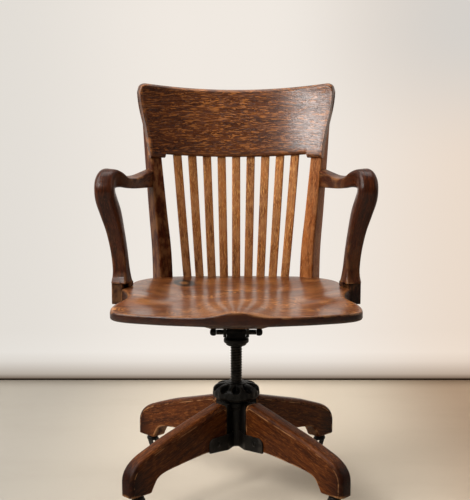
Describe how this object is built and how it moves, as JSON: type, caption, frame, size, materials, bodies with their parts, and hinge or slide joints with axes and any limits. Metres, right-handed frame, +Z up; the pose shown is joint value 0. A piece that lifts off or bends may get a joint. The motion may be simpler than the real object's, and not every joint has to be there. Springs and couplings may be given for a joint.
{
  "type": "wooden swivel armchair",
  "caption": "Wooden office armchair with a dished seat, slatted back and bent arms, on a castered cross base with a screw height wheel, swivel and sprung tilt.",
  "frame": {"origin": "on the floor, under the middle of the whole chair's box", "axes": "+Z up, the sitter faces -Y, +X to the right of someone who looks at the chair's front"},
  "size_m": [0.63, 0.5541, 0.9124],
  "materials": {
    "seat_oak": "glossy red-brown varnished oak with broad cathedral grain",
    "back_oak": "glossy dark brown varnished quarter-sawn oak with amber flecks",
    "arm_oak": "glossy dark red-brown varnished oak",
    "leg_oak": "worn brown varnished oak, lighter on its edges",
    "black_iron": "satin black painted cast iron",
    "screw_steel": "dark oiled steel",
    "caster_black": "dull black iron"
  },
  "bodies": {
    "base": {"base_hub": "black_iron", "leg_1": "leg_oak", "leg_2": "leg_oak", "leg_3": "leg_oak", "leg_4": "leg_oak", "leg_bolt_1": "black_iron", "leg_bolt_2": "black_iron", "leg_bolt_3": "black_iron", "leg_bolt_4": "black_iron", "caster_socket_1": "black_iron", "caster_socket_2": "black_iron", "caster_socket_3": "black_iron", "caster_socket_4": "black_iron"},
    "hand_wheel": {"height_wheel": "black_iron"},
    "screw": {"height_screw": "screw_steel", "thrust_washer": "screw_steel"},
    "yoke": {"screw_yoke": "black_iron", "tilt_spring": "screw_steel"},
    "upper": {"seat": "seat_oak", "seat_block": "seat_oak", "seat_iron": "black_iron", "tilt_axle": "black_iron", "axle_nut_left": "black_iron", "axle_nut_right": "black_iron", "crest_rail": "back_oak", "back_post_left": "back_oak", "back_post_right": "back_oak", "back_slat_1": "back_oak", "back_slat_2": "back_oak", "back_slat_3": "back_oak", "back_slat_4": "back_oak", "back_slat_5": "back_oak", "back_slat_6": "back_oak", "back_slat_7": "back_oak", "back_slat_8": "back_oak", "back_slat_9": "back_oak", "arm_left": "arm_oak", "arm_right": "arm_oak", "stump_screw_left": "screw_steel", "stump_screw_right": "screw_steel", "post_screw_left": "screw_steel", "post_screw_right": "screw_steel", "spring_bolt": "screw_steel", "spring_cup": "black_iron"},
    "knob": {"tension_knob": "black_iron"},
    "caster_1": {"caster_fork_1": "black_iron", "caster_axle_1": "screw_steel"},
    "caster_roller_1": {"caster_wheel_1": "caster_black"},
    "caster_2": {"caster_fork_2": "black_iron", "caster_axle_2": "screw_steel"},
    "caster_roller_2": {"caster_wheel_2": "caster_black"},
    "caster_3": {"caster_fork_3": "black_iron", "caster_axle_3": "screw_steel"},
    "caster_roller_3": {"caster_wheel_3": "caster_black"},
    "caster_4": {"caster_fork_4": "black_iron", "caster_axle_4": "screw_steel"},
    "caster_roller_4": {"caster_wheel_4": "caster_black"}
  },
  "joints": [
    {"name": "wheel_turn", "type": "hinge", "parent": "base", "child": "hand_wheel", "pos_m": [0, -0.03804, 0.227], "axis": [0, 0, 1], "range_deg": [-3240, 3240]},
    {"name": "height_adjust", "type": "slide", "parent": "base", "child": "screw", "axis": [0, 0, 1], "range_m": [-0.054, 0.054]},
    {"name": "seat_swivel", "type": "hinge", "parent": "screw", "child": "yoke", "pos_m": [0, -0.03804, 0.33], "axis": [0, 0, 1], "continuous": true},
    {"name": "seat_tilt", "type": "hinge", "parent": "yoke", "child": "upper", "pos_m": [0, -0.03804, 0.3613], "axis": [-1, 0, 0], "range_deg": [0, 15], "stiffness_Nm_per_rad": 60, "springref_deg": -20.05, "deforming": ["tilt_spring"]},
    {"name": "tension_turn", "type": "hinge", "parent": "upper", "child": "knob", "pos_m": [0, 0.02196, 0.337], "axis": [0, 0, 1], "range_deg": [-170, 170]},
    {"name": "caster_1_swivel", "type": "hinge", "parent": "base", "child": "caster_1", "pos_m": [-0.20506, -0.2431, 0.06], "axis": [0, 0, 1], "continuous": true},
    {"name": "caster_1_roll", "type": "hinge", "parent": "caster_1", "child": "caster_roller_1", "pos_m": [-0.19516, -0.2332, 0.021], "axis": [0.7071, -0.7071, 0], "continuous": true},
    {"name": "caster_2_swivel", "type": "hinge", "parent": "base", "child": "caster_2", "pos_m": [0.20506, -0.2431, 0.06], "axis": [0, 0, 1], "continuous": true},
    {"name": "caster_2_roll", "type": "hinge", "parent": "caster_2", "child": "caster_roller_2", "pos_m": [0.19516, -0.2332, 0.021], "axis": [0.7071, 0.7071, 0], "continuous": true},
    {"name": "caster_3_swivel", "type": "hinge", "parent": "base", "child": "caster_3", "pos_m": [0.20506, 0.16702, 0.06], "axis": [0, 0, 1], "continuous": true},
    {"name": "caster_3_roll", "type": "hinge", "parent": "caster_3", "child": "caster_roller_3", "pos_m": [0.19516, 0.15712, 0.021], "axis": [-0.7071, 0.7071, 0], "continuous": true},
    {"name": "caster_4_swivel", "type": "hinge", "parent": "base", "child": "caster_4", "pos_m": [-0.20506, 0.16702, 0.06], "axis": [0, 0, 1], "continuous": true},
    {"name": "caster_4_roll", "type": "hinge", "parent": "caster_4", "child": "caster_roller_4", "pos_m": [-0.19516, 0.15712, 0.021], "axis": [-0.7071, -0.7071, 0], "continuous": true}
  ],
  "couplings": [
    {"joint": "height_adjust", "follows": "wheel_turn", "m_per_rad": -0.00095492}
  ]
}
